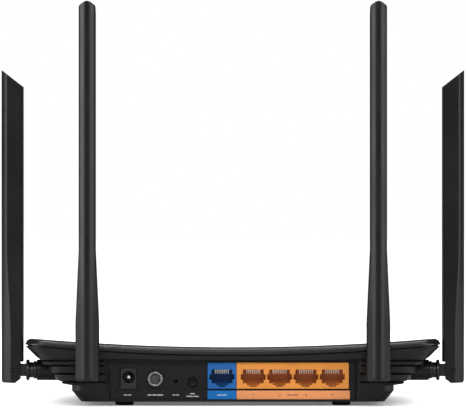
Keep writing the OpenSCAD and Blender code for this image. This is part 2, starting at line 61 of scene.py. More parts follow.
# ---- Materials --------------------------------------------------------------------------
# One recipe for every finish: a base colour that varies a little, a grain in the bump, and
# uneven gloss.
PLAIN = dict(metallic=0.0, rough=0.5, rough_var=0.08, grain=1400.0, bump=0.12, tone=0.12, spec=0.5,
             glow=0.0, see_through=0.0, streak=False)
FINISHES = {
    "case_top": dict(rough=0.32, rough_var=0.015, grain=2600.0, bump=0.06, tone=0.05, spec=0.42),
    "case_base": dict(rough=0.36, rough_var=0.03, grain=2400.0, bump=0.1, spec=0.24),
    "foot_rubber": dict(rough=0.8, grain=1500.0, bump=0.3, spec=0.3),
    "black_screw": dict(metallic=0.8, rough=0.42, grain=2500.0),
    "label_film": dict(rough=0.35, grain=900.0, bump=0.03, tone=0.05),
    "board": dict(rough=0.35, grain=700.0, bump=0.25, tone=0.5),
    "zinc_screw": dict(metallic=1.0, rough=0.3, grain=2500.0),
    "jack_blue": dict(rough=0.38, grain=2000.0, bump=0.08, tone=0.10, spec=0.25),
    "jack_orange": dict(rough=0.38, grain=2000.0, bump=0.08, tone=0.08),
    "gold": dict(metallic=0.3, rough=0.35, grain=2500.0, bump=0.05),
    "strip_blue": dict(rough=0.4, grain=1800.0, bump=0.04, tone=0.05, spec=0.2),
    "strip_orange": dict(rough=0.4, grain=1800.0, bump=0.04, tone=0.05),
    "black_gloss": dict(rough=0.28, grain=1600.0, bump=0.06),
    "nickel": dict(metallic=0.6, rough=0.3, grain=2600.0, bump=0.03, tone=0.05),
    "button_grey": dict(rough=0.3, grain=2000.0, bump=0.06),
    "button_black": dict(rough=0.5, grain=2000.0, bump=0.06, spec=0.15),
    "plunger_ivory": dict(rough=0.4, grain=1500.0),
    "clear_pipe": dict(rough=0.12, grain=900.0, bump=0.03, see_through=0.6, tone=0.03),
    "lamp_white": dict(rough=0.3, grain=1500.0, glow=0.3),
    "tin_plate": dict(metallic=1.0, rough=0.32, streak=True, tone=0.15),
    "aluminium": dict(metallic=1.0, rough=0.4, streak=True, tone=0.1),
    "chip_black": dict(rough=0.6, grain=3000.0, bump=0.2),
    "capacitor_sleeve": dict(rough=0.25, grain=1500.0, bump=0.05),
    "coil_ferrite": dict(rough=0.7, grain=2500.0, bump=0.3),
    "antenna_black": dict(rough=0.34, rough_var=0.04, grain=2600.0, bump=0.06, spec=0.25),
    "swivel_black": dict(rough=0.34, grain=2400.0, bump=0.08, spec=0.4),
    "pin_steel": dict(metallic=1.0, rough=0.35, grain=2500.0),
    "radiator_board": dict(rough=0.4, grain=1500.0, tone=0.2),
    "coax_black": dict(rough=0.45, grain=2000.0, bump=0.1),
}
# Shares of the record's colours, for the finishes that are shown darker than the record's.
DARKER = {
    "case_top": 0.3, "case_base": 0.28, "antenna_black": 0.15, "swivel_black": 0.4,
    # plunger_ivory's share paints the shade down the reset pinhole onto the plunger's tip.
    "black_gloss": 0.6, "pin_steel": 0.06, "plunger_ivory": 0.1, "button_black": 0.15,
    "jack_orange": 0.76, "jack_blue": 0.8, "strip_orange": 0.81, "strip_blue": 0.72,
}
# Colour and metallic share of the plated finishes.
CONTACT_METAL = ((0.8, 0.74, 0.62, 1), 0.25)
RIM_SATIN = ((0.22, 0.22, 0.23, 1), 0.8)
_made = {}


def base_colour(slot):
    colour = [m["base_color"] for m in RECORD["materials"] if m["slot"] == slot][0]
    share = DARKER.get(slot, 1.0)
    return tuple(c * share for c in colour[:3]) + (1.0,)


def build_material(name, colour, facts):
    mat = bpy.data.materials.new(name)
    mat.use_nodes = True
    nodes, links = mat.node_tree.nodes, mat.node_tree.links
    shader = nodes["Principled BSDF"]
    shader.inputs["Metallic"].default_value = facts["metallic"]
    shader.inputs["Specular IOR Level"].default_value = facts["spec"]
    shader.inputs["Transmission Weight"].default_value = facts["see_through"]
    place = nodes.new("ShaderNodeTexCoord")
    spread = nodes.new("ShaderNodeMapping")
    if facts["streak"]:
        spread.inputs["Scale"].default_value = (1.0, 30.0, 1.0)
    links.new(place.outputs["Object"], spread.inputs["Vector"])
    grain = nodes.new("ShaderNodeTexNoise")
    grain.inputs["Scale"].default_value = facts["grain"] / (4.0 if facts["streak"] else 1.0)
    grain.inputs["Detail"].default_value = 3.0
    cloud = nodes.new("ShaderNodeTexNoise")
    cloud.inputs["Scale"].default_value = 38.0
    cloud.inputs["Detail"].default_value = 5.0
    for texture in (grain, cloud):
        links.new(spread.outputs["Vector"], texture.inputs["Vector"])
    # Colour: a slow drift between a darker and a lighter tone of the base.
    drift = nodes.new("ShaderNodeValToRGB")
    low, high = 1.0 - facts["tone"], 1.0 + facts["tone"]
    drift.color_ramp.elements[0].position = 0.32
    drift.color_ramp.elements[0].color = tuple(c * low for c in colour[:3]) + (1.0,)
    drift.color_ramp.elements[1].position = 0.68
    drift.color_ramp.elements[1].color = tuple(min(1.0, c * high) for c in colour[:3]) + (1.0,)
    links.new(cloud.outputs["Fac"], drift.inputs["Fac"])
    links.new(drift.outputs["Color"], shader.inputs["Base Color"])
    # Gloss: worn patches are a little smoother than the rest.
    gloss = nodes.new("ShaderNodeMapRange")
    gloss.inputs["From Min"].default_value = 0.3
    gloss.inputs["From Max"].default_value = 0.7
    gloss.inputs["To Min"].default_value = max(0.03, facts["rough"] - facts["rough_var"])
    gloss.inputs["To Max"].default_value = min(1.0, facts["rough"] + facts["rough_var"])
    links.new(cloud.outputs["Fac"], gloss.inputs["Value"])
    links.new(gloss.outputs["Result"], shader.inputs["Roughness"])
    relief = nodes.new("ShaderNodeBump")
    relief.inputs["Strength"].default_value = facts["bump"]
    relief.inputs["Distance"].default_value = 0.0001
    links.new(grain.outputs["Fac"], relief.inputs["Height"])
    links.new(relief.outputs["Normal"], shader.inputs["Normal"])
    if facts["glow"]:
        shader.inputs["Emission Color"].default_value = colour
        shader.inputs["Emission Strength"].default_value = facts["glow"]
    return mat


def material(slot):
    if slot not in _made:
        _made[slot] = build_material(slot, base_colour(slot), {**PLAIN, **FINISHES[slot]})
    return _made[slot]


def ink(name, colour):
    """Print on a label, as a material of its own."""
    if name not in _made:
        _made[name] = build_material(name, colour, {**PLAIN, "rough": 0.45, "tone": 0.08, "bump": 0.04})
    return _made[name]


def plated(name, colour, metallic):
    """A satin metal finish of its own colour."""
    if name not in _made:
        facts = {**PLAIN, "metallic": metallic, "rough": 0.34, "grain": 2600.0, "bump": 0.05}
        _made[name] = build_material(name, colour, facts)
    return _made[name]


# ---- Making pieces ----------------------------------------------------------------------
def link_mesh(name, bm):
    bmesh.ops.remove_doubles(bm, verts=bm.verts, dist=1e-5)
    bmesh.ops.recalc_face_normals(bm, faces=bm.faces)
    mesh = bpy.data.meshes.new(name)
    bm.to_mesh(mesh)
    bm.free()
    mesh.transform(Matrix.Scale(MM, 4))
    obj = bpy.data.objects.new(name, mesh)
    bpy.context.scene.collection.objects.link(obj)
    return obj


def bake(obj):
    """Turns the object's modifiers into its mesh."""
    bpy.context.view_layer.update()
    graph = bpy.context.evaluated_depsgraph_get()
    mesh = bpy.data.meshes.new_from_object(obj.evaluated_get(graph))
    obj.modifiers.clear()
    obj.data = mesh
    return obj


def soften(obj, width, angle=30.0, segments=2):
    edge = obj.modifiers.new("soften", "BEVEL")
    edge.width = width * MM
    edge.segments = segments
    edge.limit_method = "ANGLE"
    edge.angle_limit = math.radians(angle)
    edge.use_clamp_overlap = True
    return bake(obj)


def carve(obj, *cutters, union=False):
    for cutter in cutters:
        mod = obj.modifiers.new("carve", "BOOLEAN")
        mod.operation = "UNION" if union else "DIFFERENCE"
        mod.solver = "EXACT"
        mod.object = cutter
        bake(obj)
        bpy.data.objects.remove(cutter)
    return obj


def dress(obj, body, slot, nodes, mat=None, smooth=38.0):
    """Gives a finished piece its material, its shading and its place in the frame."""
    obj.data.materials.clear()
    obj.data.materials.append(mat or material(slot))
    for face in obj.data.polygons:
        face.use_smooth = True
    obj.data.set_sharp_from_angle(angle=math.radians(smooth))
    even = obj.modifiers.new("even", "WEIGHTED_NORMAL")
    even.keep_sharp = True
    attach(obj, body)
    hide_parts(*nodes)
    return obj


def add_box(bm, lo, hi):
    made = bmesh.ops.create_cube(bm, size=1.0)["verts"]
    size = [b - a for a, b in zip(lo, hi)]
    middle = [(a + b) / 2 for a, b in zip(lo, hi)]
    bmesh.ops.scale(bm, vec=size, verts=made)
    bmesh.ops.translate(bm, vec=middle, verts=made)


def box_piece(name, *boxes):
    bm = bmesh.new()
    for lo, hi in boxes:
        add_box(bm, lo, hi)
    return link_mesh(name, bm)


def at_height(plan, z):
    """An outline seen from above, lifted to a height."""
    return [(x, y, z) for x, y in plan]


def add_prism(bm, low, high):
    """Closed solid between two outlines that have the same number of points."""
    a = [bm.verts.new(p) for p in low]
    b = [bm.verts.new(p) for p in high]
    for i in range(len(a)):
        j = (i + 1) % len(a)
        bm.faces.new((a[i], a[j], b[j], b[i]))
    bm.faces.new(list(reversed(a)))
    bm.faces.new(b)


def add_lathe(bm, profile, origin, axis, steps=48):
    """Turns (distance along the axis, radius) pairs about the axis. A radius of 0 closes an end."""
    axis = Vector(axis).normalized()
    side = axis.orthogonal().normalized()
    up = axis.cross(side)
    rings = []
    for along, radius in profile:
        centre = Vector(origin) + axis * along
        if radius == 0:
            rings.append([bm.verts.new(centre)])
            continue
        angles = [2 * math.pi * k / steps for k in range(steps)]
        spokes = [math.cos(a) * side + math.sin(a) * up for a in angles]
        rings.append([bm.verts.new(centre + radius * spoke) for spoke in spokes])
    for a, b in zip(rings, rings[1:] + rings[:1]):
        if len(a) == 1 and len(b) == 1:
            continue
        for k in range(steps):
            m = (k + 1) % steps
            corners = [a[k % len(a)], a[m % len(a)], b[m % len(b)], b[k % len(b)]]
            unique = list(dict.fromkeys(corners))
            bm.faces.new(unique)


INWARD = (0, 1, 0)
UP = (0, 0, 1)


def lathe_piece(name, profile, origins, axis, steps=48):
    bm = bmesh.new()
    for origin in origins:
        add_lathe(bm, profile, origin, axis, steps)
    return link_mesh(name, bm)


def add_rod_y(bm, x, z, r, y0, y1, steps=48):
    add_lathe(bm, [(0, 0), (0, r), (y1 - y0, r), (y1 - y0, 0)], (x, y0, z), INWARD, steps)


# ---- Camera, floor and lights -----------------------------------------------------------
# The camera looks level at the rear of the case.
CAMERA_AT = (0.00008, -2.56, 0.109)
LENS = 347.6
SENSOR = 36.0


def camera():
    data = bpy.data.cameras.new("camera")
    data.lens = LENS
    data.sensor_width = SENSOR
    obj = bpy.data.objects.new("camera", data)
    obj.location = CAMERA_AT
    obj.rotation_euler = (math.radians(90), 0, 0)
    data.clip_end = 60
    bpy.context.scene.collection.objects.link(obj)
    bpy.context.scene.camera = obj


def area_light(name, at, towards, size, power):
    data = bpy.data.lights.new(name, "AREA")
    data.shape = "RECTANGLE"
    data.size, data.size_y = size
    data.energy = power
    obj = bpy.data.objects.new(name, data)
    obj.location = at
    obj.rotation_euler = (Vector(towards) - Vector(at)).to_track_quat("-Z", "Y").to_euler()
    obj.visible_camera = False
    bpy.context.scene.collection.objects.link(obj)


FLOOR_R = 14.0
# The floor's glow is low at the base, a painted shadow, and brightens to the backdrop's white away
# from it. These are half the base's plan and the distance beyond it over which the painted shadow
# fades out, the same in every direction.
BASE_HALF = (0.073, 0.067, 1.0)
PAINTED_SHADOW_REACH = 0.05
FLOOR_GLOW = (0.16, 1.1)
WORLD_FILL = 0.02


def backdrop():
    """Plain white as the camera sees it, and a weak fill for the rest."""
    world = bpy.data.worlds.new("studio")
    bpy.context.scene.world = world
    world.use_nodes = True
    nodes, links = world.node_tree.nodes, world.node_tree.links
    nodes.clear()
    output = nodes.new("ShaderNodeOutputWorld")
    mix = nodes.new("ShaderNodeMixShader")
    path = nodes.new("ShaderNodeLightPath")
    seen = nodes.new("ShaderNodeBackground")
    seen.inputs["Strength"].default_value = 1.0
    seen.inputs["Color"].default_value = (1, 1, 1, 1)
    fill = nodes.new("ShaderNodeBackground")
    fill.inputs["Strength"].default_value = WORLD_FILL
    fill.inputs["Color"].default_value = (0.95, 0.97, 1, 1)
    links.new(path.outputs["Is Camera Ray"], mix.inputs["Fac"])
    links.new(fill.outputs["Background"], mix.inputs[1])
    links.new(seen.outputs["Background"], mix.inputs[2])
    links.new(mix.outputs["Shader"], output.inputs["Surface"])


def floor_material():
    mat = bpy.data.materials.new("floor_white")
    mat.use_nodes = True
    nodes, links = mat.node_tree.nodes, mat.node_tree.links
    shader = nodes["Principled BSDF"]
    shader.inputs["Base Color"].default_value = (0.8, 0.8, 0.8, 1)
    shader.inputs["Roughness"].default_value = 0.9
    shader.inputs["Specular IOR Level"].default_value = 0.1
    shader.inputs["Emission Color"].default_value = (1, 1, 1, 1)
    place = nodes.new("ShaderNodeTexCoord")
    outside = place.outputs["Object"]
    for step, amount in (("ABSOLUTE", None), ("SUBTRACT", BASE_HALF), ("MAXIMUM", (0, 0, 0))):
        turn = nodes.new("ShaderNodeVectorMath")
        turn.operation = step
        links.new(outside, turn.inputs[0])
        if amount:
            turn.inputs[1].default_value = amount
        outside = turn.outputs["Vector"]
    reach = nodes.new("ShaderNodeVectorMath")
    reach.operation = "LENGTH"
    links.new(outside, reach.inputs[0])
    # Lower glow near the base paints a shadow there, which fades out over PAINTED_SHADOW_REACH.
    fade = nodes.new("ShaderNodeMapRange")
    fade.interpolation_type = "SMOOTHSTEP"
    fade.inputs["From Max"].default_value = PAINTED_SHADOW_REACH
    fade.inputs["To Min"].default_value, fade.inputs["To Max"].default_value = FLOOR_GLOW
    links.new(reach.outputs["Value"], fade.inputs["Value"])
    # Only the camera sees the glow, so that it doesn't light the object from below.
    path = nodes.new("ShaderNodeLightPath")
    seen = nodes.new("ShaderNodeMath")
    seen.operation = "MULTIPLY"
    links.new(fade.outputs["Result"], seen.inputs[0])
    links.new(path.outputs["Is Camera Ray"], seen.inputs[1])
    links.new(seen.outputs["Value"], shader.inputs["Emission Strength"])
    return mat


def studio():
    bpy.context.scene.view_settings.view_transform = "Standard"
    backdrop()
    bm = bmesh.new()
    bmesh.ops.create_circle(bm, cap_ends=True, segments=96, radius=FLOOR_R)
    mesh = bpy.data.meshes.new("floor")
    bm.to_mesh(mesh)
    bm.free()
    floor = bpy.data.objects.new("floor", mesh)
    bpy.context.scene.collection.objects.link(floor)
    mesh.materials.append(floor_material())
    area_light("back", (0, 1.3, 0.94), (0, -0.12, 0), (2.4, 1.1), 12)
    area_light("top", (0, -0.12, 1.3), (0, -0.07, 0), (1.6, 0.2), 14)
    area_light("front", (0, -1.9, 1.0), (0, 0, 0.02), (0.9, 0.3), 14)
    area_light("front_left", (-1.5, -1.8, 1.05), (0, 0, 0.05), (0.6, 0.6), 15)
    area_light("front_right", (1.5, -1.8, 1.05), (0, 0, 0.05), (0.6, 0.6), 15)
    area_light("left", (-1.42, -0.34, 0.2), (0, 0, 0.12), (0.66, 0.6), 9.5)
    area_light("right", (1.40, -0.44, 0.2), (0, 0, 0.12), (0.75, 0.6), 7)


# ---- Case -------------------------------------------------------------------------------
COVER_LO, COVER_HI = box_mm("top_cover")
HALF_W = COVER_HI.x
REAR_Y = COVER_LO.y
FRONT_Y = COVER_HI.y
CORNER_R = 14.0
TOP_H = 32.7
SEAM_H = 28.3
WING_RISE = 5.2
SEAM_RISE = WING_RISE + 0.7
FALL = math.tan(math.radians(2.2))
WALL = 2.0
FOOT_H = box_mm("bottom_shell")[0].z
BEVEL = 3.4
EDGE_STEPS = 36
CORNER_STEPS = 12
TILT = 0.5
WING_TILT = 0.75
CAP_STRIPS = 16
# Height of the cover's lip above the seam, and how much of it the corners lose.
LIP_H = 2.2
LIP_LOSS = 1.8


def rear_half(hx, y0, r):
    turn = math.pi / 2 / CORNER_STEPS
    left = [(math.pi + turn * i) for i in range(CORNER_STEPS + 1)]
    right = [(1.5 * math.pi + turn * i) for i in range(CORNER_STEPS + 1)]
    flat = [(hx - r) * (2 * i / EDGE_STEPS - 1) for i in range(1, EDGE_STEPS)]
    points = [(-hx + r + r * math.cos(a), y0 + r + r * math.sin(a)) for a in left]
    points += [(x, y0) for x in flat]
    points += [(hx - r + r * math.cos(a), y0 + r + r * math.sin(a)) for a in right]
    return points


def outline(hx, y0, y1, r):
    half = rear_half(hx, y0, r)
    return half + [(x, y0 + y1 - y) for x, y in reversed(half)]


def bowl(x, y, z, rise, share=1.0):
    """Height of a sheet that climbs towards the wings and falls towards the front."""
    return z + rise * (x / HALF_W) ** 2 - share * FALL * (y - REAR_Y)


def ring(ix, iy, jy, r, z, rise=0.0, share=0.0):
    points = outline(HALF_W - ix, REAR_Y + iy, FRONT_Y - jy, r)
    return [(x, y, bowl(x, y, z, rise, share)) for x, y in points]


def lip(x):
    return LIP_H - LIP_LOSS * max(0.0, (abs(x) - HALF_W + CORNER_R) / CORNER_R)


def lip_ring(inset):
    points = outline(HALF_W - inset, REAR_Y + inset, FRONT_Y - inset, CORNER_R)
    return [(x, y, bowl(x, y, SEAM_H, SEAM_RISE) + lip(x)) for x, y in points]


def add_loft(bm, rings, low_height, high_height):
    """Closed solid through rings. Each cap is a sheet of strips whose height is given by a function."""
    made = [[bm.verts.new(p) for p in points] for points in rings]
    count = len(rings[0])
    for a, b in zip(made, made[1:]):
        for k in range(count):
            m = (k + 1) % count
            bm.faces.new((a[k], a[m], b[m], b[k]))
    for loop, height in ((made[0], low_height), (made[-1], high_height)):
        half = count // 2
        rows = [[loop[i] for i in range(half)]]
        for s in range(1, CAP_STRIPS):
            row = []
            for i in range(half):
                p = loop[i].co.lerp(loop[count - 1 - i].co, s / CAP_STRIPS)
                row.append(bm.verts.new((p.x, p.y, height(p.x, p.y))))
            rows.append(row)
        rows.append([loop[count - 1 - i] for i in range(half)])
        for a, b in zip(rows, rows[1:]):
            for i in range(half - 1):
                bm.faces.new((a[i], a[i + 1], b[i + 1], b[i]))


def bevel_ring(inset, z):
    """A line on the rounded slope between the cover's lip and its top."""
    share = (z - SEAM_H - LIP_H) / (TOP_H - SEAM_H - LIP_H)
    low = lip_ring(inset)
    rise = SEAM_RISE + (WING_RISE - SEAM_RISE) * share
    out = ring(inset, inset, inset, CORNER_R - inset, z, rise, 1)
    return [(x, y, out_z - (1 - share) * (LIP_H - lip(lx)))
            for (x, y, out_z), (lx, _, _) in zip(out, low)]


LED_Y = 44.0
LED_PLACES = [-30.0 + 12.0 * i for i in range(6)]
LED_R = 0.85
LED_REACH = 0.9


def top_cover():
    rings = [
        ring(BEVEL + WALL, BEVEL + WALL, BEVEL + WALL, CORNER_R - BEVEL, TOP_H - WALL, WING_RISE, 1),
        ring(WALL + 0.2, WALL + 0.2, WALL + 0.2, CORNER_R - WALL, SEAM_H, SEAM_RISE, 1),
        ring(0, 0, 0, CORNER_R, SEAM_H, SEAM_RISE, 1),
        lip_ring(0.2),
        bevel_ring(1.0, 31.5),
        bevel_ring(1.55, 32.03),
        ring(BEVEL, BEVEL - 0.8, BEVEL - 0.8, CORNER_R - BEVEL, TOP_H, WING_RISE, 1),
    ]
    bm = bmesh.new()
    add_loft(bm, rings,
             lambda x, y: bowl(x, y, TOP_H - WALL, WING_RISE),
             lambda x, y: bowl(x, y, TOP_H, WING_RISE))
    cover = link_mesh("cover", bm)
    windows = bmesh.new()
    for x in LED_PLACES:
        pill = []
        for k in range(24):
            a = 2 * math.pi * k / 24
            shift = math.copysign(LED_REACH, math.cos(a))
            pill.append((x + shift + LED_R * math.cos(a), LED_Y + LED_R * math.sin(a)))
        add_prism(windows, at_height(pill, TOP_H - 9), at_height(pill, TOP_H + 1))
    soften(cover, 0.35, 18, 2)
    carve(cover, link_mesh("windows", windows))
    dress(cover, "case", "case_top", ["top_cover"])


ALCOVE_TOP = 25.5
RIM_Z = 3.4
PANEL_Y = -65.0
PANEL_T = 2.0
STRIP_Y = -66.0
STRIP_Z = 8.4


def base_rings():
    """Up the terraces to the seam, then down inside. Each row is the inset at the sides, the rear
    and the front, the corner radius and the height, then the rise and fall of the edge."""
    return [
        ring(31.4, 5, 20, 7, FOOT_H),
        ring(26.2, 3.5, 14, 9, 8.2),
        ring(26.2, 3.5, 14, 9, 11.3, 0, TILT),
        ring(21.5, 3.2, 11.5, 12, 11.9, 0, TILT),
        ring(20.2, 3, 11, 12, 12.6, 0, TILT),
        ring(20.8, 3.8, 11.8, 12, 13.2, 0, TILT),
        ring(20.0, 3.6, 11.8, 12, 13.4, 0, TILT),
        ring(17.2, 2.8, 10.4, 12, 14.4, 0, TILT),
        ring(16.4, 2.7, 10.2, 12, 17.2, 0, TILT),
        ring(17.0, 3.7, 11.0, 12, 17.7, 0, TILT),
        ring(16.4, 3.4, 11.0, 12, 17.9, 0, TILT),
        ring(13.6, 2.4, 9.4, 12, 18.4, 0, TILT),
        ring(13.2, 2.3, 9.2, 12, 21.7, 0, TILT),
        ring(13.9, 3.2, 10.0, 12, 22.3, 0, TILT),
        ring(13.2, 2.9, 10.0, 12, 22.5, 0, TILT),
        ring(10, 2, 8.2, 12, 22.9, 0, TILT),
        ring(9.2, 1.8, 8, 12, 24.4, 0, TILT),
        ring(9.9, 2.7, 8.8, 12, 25.0, 0, TILT),
        ring(9.2, 2.4, 8.6, 12, 25.2, 0, TILT),
        ring(6.6, 1.2, 6, 13, 25.5, 1.8, WING_TILT),
        ring(0.25, 0.6, 0.6, CORNER_R, SEAM_H - 0.7, SEAM_RISE, 1),
        ring(1.5, 2.0, 2.0, CORNER_R, SEAM_H - 0.65, SEAM_RISE, 1),
        ring(1.5, 2.0, 2.0, CORNER_R, SEAM_H, SEAM_RISE, 1),
        ring(WALL + 0.4, WALL + 0.9, WALL + 0.9, CORNER_R - WALL, SEAM_H, SEAM_RISE, 1),
        ring(11.4, 3.8, 8.6, 10, 26.6, 1.8, WING_TILT),
        ring(12.2, 4.2, 10.4, 10, 24.2, 0, TILT),
        ring(15.4, 4.5, 11.4, 10, 23.4, 0, TILT),
        ring(15.8, 4.6, 11.6, 10, 19.6, 0, TILT),
        ring(18.6, 4.8, 12.4, 10, 19, 0, TILT),
        ring(19.6, 5, 12.6, 10, 15, 0, TILT),
        ring(28.4, 5.4, 16, 7, 13, 0, TILT),
        ring(28.4, 5.4, 16, 7, 8.6),
        ring(32.6, 6.6, 21, 5, FOOT_H + WALL),
    ]


def alcove(z0, z1, grow=0.0):
    """The recess for the ports: open at the rear, and narrower towards the panel."""
    plan = [(-72.5, -76), (72.5, -76), (71.5, -70), (67.5, PANEL_Y), (-67.5, PANEL_Y), (-71.5, -70)]
    plan = [(x + math.copysign(grow, x), y) for x, y in plan]
    bm = bmesh.new()
    add_prism(bm, at_height(plan, z0), at_height(plan, z1))
    return link_mesh("alcove", bm)


KEYHOLE_X = 50.0
KEYHOLE_Y = 4.0
SCREW_PLACES = [(x, y) for x in (-72, 72) for y in (-50, 40)]
FOOT_PLACES = [(x, y) for x in (-60.3, 60.3) for y in (-56, 44)]


def floor_cutters():
    low, high = FOOT_H - 1, FOOT_H + WALL + 1
    bm = bmesh.new()
    for side in (-1, 1):
        for i in range(9):
            y = -38 + 8.5 * i
            add_box(bm, (side * 27 - 13, y, low), (side * 27 + 13, y + 2.2, high))
        slot_plan = [(4.0 * math.cos(a), 4.0 * math.sin(a))
                     for a in [math.radians(122 + 296 * k / 24) for k in range(25)]]
        slot_plan += [(2.12 * math.cos(a), 8 + 2.12 * math.sin(a))
                      for a in [math.radians(180 * k / 12) for k in range(13)]]
        plan = [(side * KEYHOLE_X + x, KEYHOLE_Y + y) for x, y in slot_plan]
        add_prism(bm, at_height(plan, low), at_height(plan, high))
    for x, y in FOOT_PLACES:
        add_lathe(bm, [(0, 0), (0, 5.3), (1.5, 5.3), (1.5, 0)], (x, y, FOOT_H - 1), UP)
    for x, y in SCREW_PLACES:
        add_lathe(bm, [(0, 0), (0, 2.8), (4, 2.8), (4, 0)], (x, y, FOOT_H - 1), UP)
    add_box(bm, (-30, -58, FOOT_H - 1), (30, -44, FOOT_H + 0.3))
    return link_mesh("floor_cutters", bm)


def bottom_shell():
    bm = bmesh.new()
    add_loft(bm, base_rings(), lambda x, y: FOOT_H, lambda x, y: FOOT_H + WALL)
    shell = link_mesh("base_shell", bm)
    soften(shell, 0.3, 16, 2)
    carve(shell, alcove(RIM_Z, ALCOVE_TOP), floor_cutters())
    dress(shell, "case", "case_base", ["bottom_shell"], smooth=30)


def screw_posts():
    bm = bmesh.new()
    for x, y in SCREW_PLACES:
        profile = [(0, 1.4), (0, 2.6), (0.6, 3.4), (9, 3.6), (9, 1.4)]
        add_lathe(bm, profile, (x, y, FOOT_H + WALL + 0.9), UP, 32)
    dress(link_mesh("screw_posts", bm), "case", "case_base", ["bottom_shell"])


# ---- Ports ------------------------------------------------------------------------------
WAN_LO, WAN_HI = box_mm("wan_jack")
LAN_LO, LAN_HI = box_mm("lan_jack")
DC_LO, DC_HI = box_mm("dc_jack")
PIN_LO, PIN_HI = box_mm("dc_pin")
POWER_LO, POWER_HI = box_mm("power_button")
PAIR_LO, PAIR_HI = box_mm("pairing_button")
RESET_LO, RESET_HI = box_mm("reset_plunger")
BOARD_TOP = WAN_LO.z
LAN_PITCH = 14.6
LAN_MIDDLE = (LAN_LO.x + LAN_HI.x) / 2
LAN_CENTRES = [LAN_MIDDLE + (i - 1.5) * LAN_PITCH for i in range(4)]
WAN_CENTRE = (WAN_LO.x + WAN_HI.x) / 2
DC_X, DC_Z = (PIN_LO.x + PIN_HI.x) / 2, (PIN_LO.z + PIN_HI.z) / 2
POWER_X, POWER_Z = (POWER_LO.x + POWER_HI.x) / 2, (POWER_LO.z + POWER_HI.z) / 2
PAIR_X, PAIR_Z = (PAIR_LO.x + PAIR_HI.x) / 2, (PAIR_LO.z + PAIR_HI.z) / 2
RESET_X, RESET_Z = (RESET_LO.x + RESET_HI.x) / 2, (RESET_LO.z + RESET_HI.z) / 2
POWER_R = 4.45
PAIR_R = 2.45
RESET_R = 1.0
MOUTH_TOP = 20
MOUTH_LOW = 12.4
MOUTH_DEPTH = 13.0


def port_panel():
    tray_plan = [(-72.9, -67.2), (72.9, -67.2), (69.5, PANEL_Y + PANEL_T), (-69.5, PANEL_Y + PANEL_T)]
    bm = bmesh.new()
    low, high = FOOT_H + 0.4, ALCOVE_TOP + 1.5
    add_prism(bm, at_height(tray_plan, low), at_height(tray_plan, high))
    panel = link_mesh("port_panel", bm)
    carve(panel, alcove(RIM_Z - 0.2, ALCOVE_TOP - 0.1, -0.05))
    ledge = box_piece("ledge", ((-67.9, STRIP_Y, RIM_Z - 0.6), (67.9, PANEL_Y + 1, STRIP_Z)))
    carve(panel, ledge, union=True)
    holes = bmesh.new()
    gap = 0.2
    y0, y1 = PANEL_Y - 3, PANEL_Y + PANEL_T + 2
    add_box(holes, (WAN_LO.x - gap, y0, WAN_LO.z - gap), (LAN_HI.x + gap, y1, LAN_HI.z + gap))
    add_box(holes, (DC_LO.x - gap, y0, DC_LO.z - gap), (DC_HI.x + gap, y1, DC_HI.z + gap))
    add_rod_y(holes, POWER_X, POWER_Z, POWER_R + 0.35, y0, y1)
    add_rod_y(holes, PAIR_X, PAIR_Z, PAIR_R + 0.25, y0, y1)
    add_rod_y(holes, RESET_X, RESET_Z, RESET_R, y0, y1, 24)
    carve(panel, link_mesh("holes", holes))
    soften(panel, 0.22, 40, 2)
    dress(panel, "case", "case_base", ["bottom_shell"])
    # Raised ring round the small button, and a shallow one round the pinhole.
    bm = bmesh.new()
    collar = [(0.3, PAIR_R + 0.3), (-0.25, PAIR_R + 0.3), (-0.25, PAIR_R + 0.8), (0.3, PAIR_R + 0.95)]
    add_lathe(bm, collar, (PAIR_X, PANEL_Y, PAIR_Z), INWARD)
    collar = [(0.3, RESET_R + 0.05), (-0.15, RESET_R + 0.15), (-0.15, RESET_R + 0.45), (0.3, RESET_R + 0.6)]
    add_lathe(bm, collar, (RESET_X, PANEL_Y, RESET_Z), INWARD, 32)
    dress(link_mesh("panel_rings", bm), "case", "case_base", ["bottom_shell"])


def mouth_plan(x):
    top, low = MOUTH_TOP - BOARD_TOP, MOUTH_LOW - BOARD_TOP
    half = [(-5.75, top), (-5.75, 8), (-6.9, 8), (-6.9, 5), (-5.75, 5), (-5.75, low),
            (-3.5, low), (-3.5, 2), (-2, 2), (-2, 1)]
    full = half + [(-px, pz) for px, pz in reversed(half)]
    return [(x + px, BOARD_TOP + pz) for px, pz in full]


def jack(name, lo, hi, centres, slot):
    body = box_piece(name, (lo, hi))
    cuts = bmesh.new()
    for x in centres:
        plan = mouth_plan(x)
        mouth = [(px, lo.y - 1, pz) for px, pz in plan]
        add_prism(cuts, mouth, [(px, lo.y + MOUTH_DEPTH, pz) for px, pz in plan])
    carve(body, link_mesh("mouths", cuts))
    soften(body, 0.16, 40, 2)
    dress(body, "case", slot, [name[:3] + "_jack"])


def contact_wires(node, centres, front):
    """Eight sprung wires to a mouth: down along a slope from the roof at the front, then back."""
    pitch, half = 1.02, 0.2
    roof = MOUTH_TOP - 0.05
    bm = bmesh.new()
    for centre in centres:
        for i in range(8):
            x = centre + (i - 3.5) * pitch
            path = [(front + 0.4, roof), (front + 0.6, roof - 0.2), (front + 2.4, roof - 2.0),
                    (front + 9.4, roof - 2.05)]
            low = [(x - half, y, z - 0.4) for y, z in path]
            low += [(x - half, y, z) for y, z in reversed(path)]
            high = [(x + half, y, z) for _, y, z in low]
            add_prism(bm, low, high)
    obj = link_mesh(node[:3] + "_wires", bm)
    soften(obj, 0.06, 40, 1)
    dress(obj, "case", "gold", [node], mat=plated("contact_metal", *CONTACT_METAL))


def strip(name, slot):
    lo, hi = box_mm(name)
    obj = box_piece(name + "_film", (lo, hi))
    soften(obj, 0.12, 40, 2)
    dress(obj, "case", slot, [name])


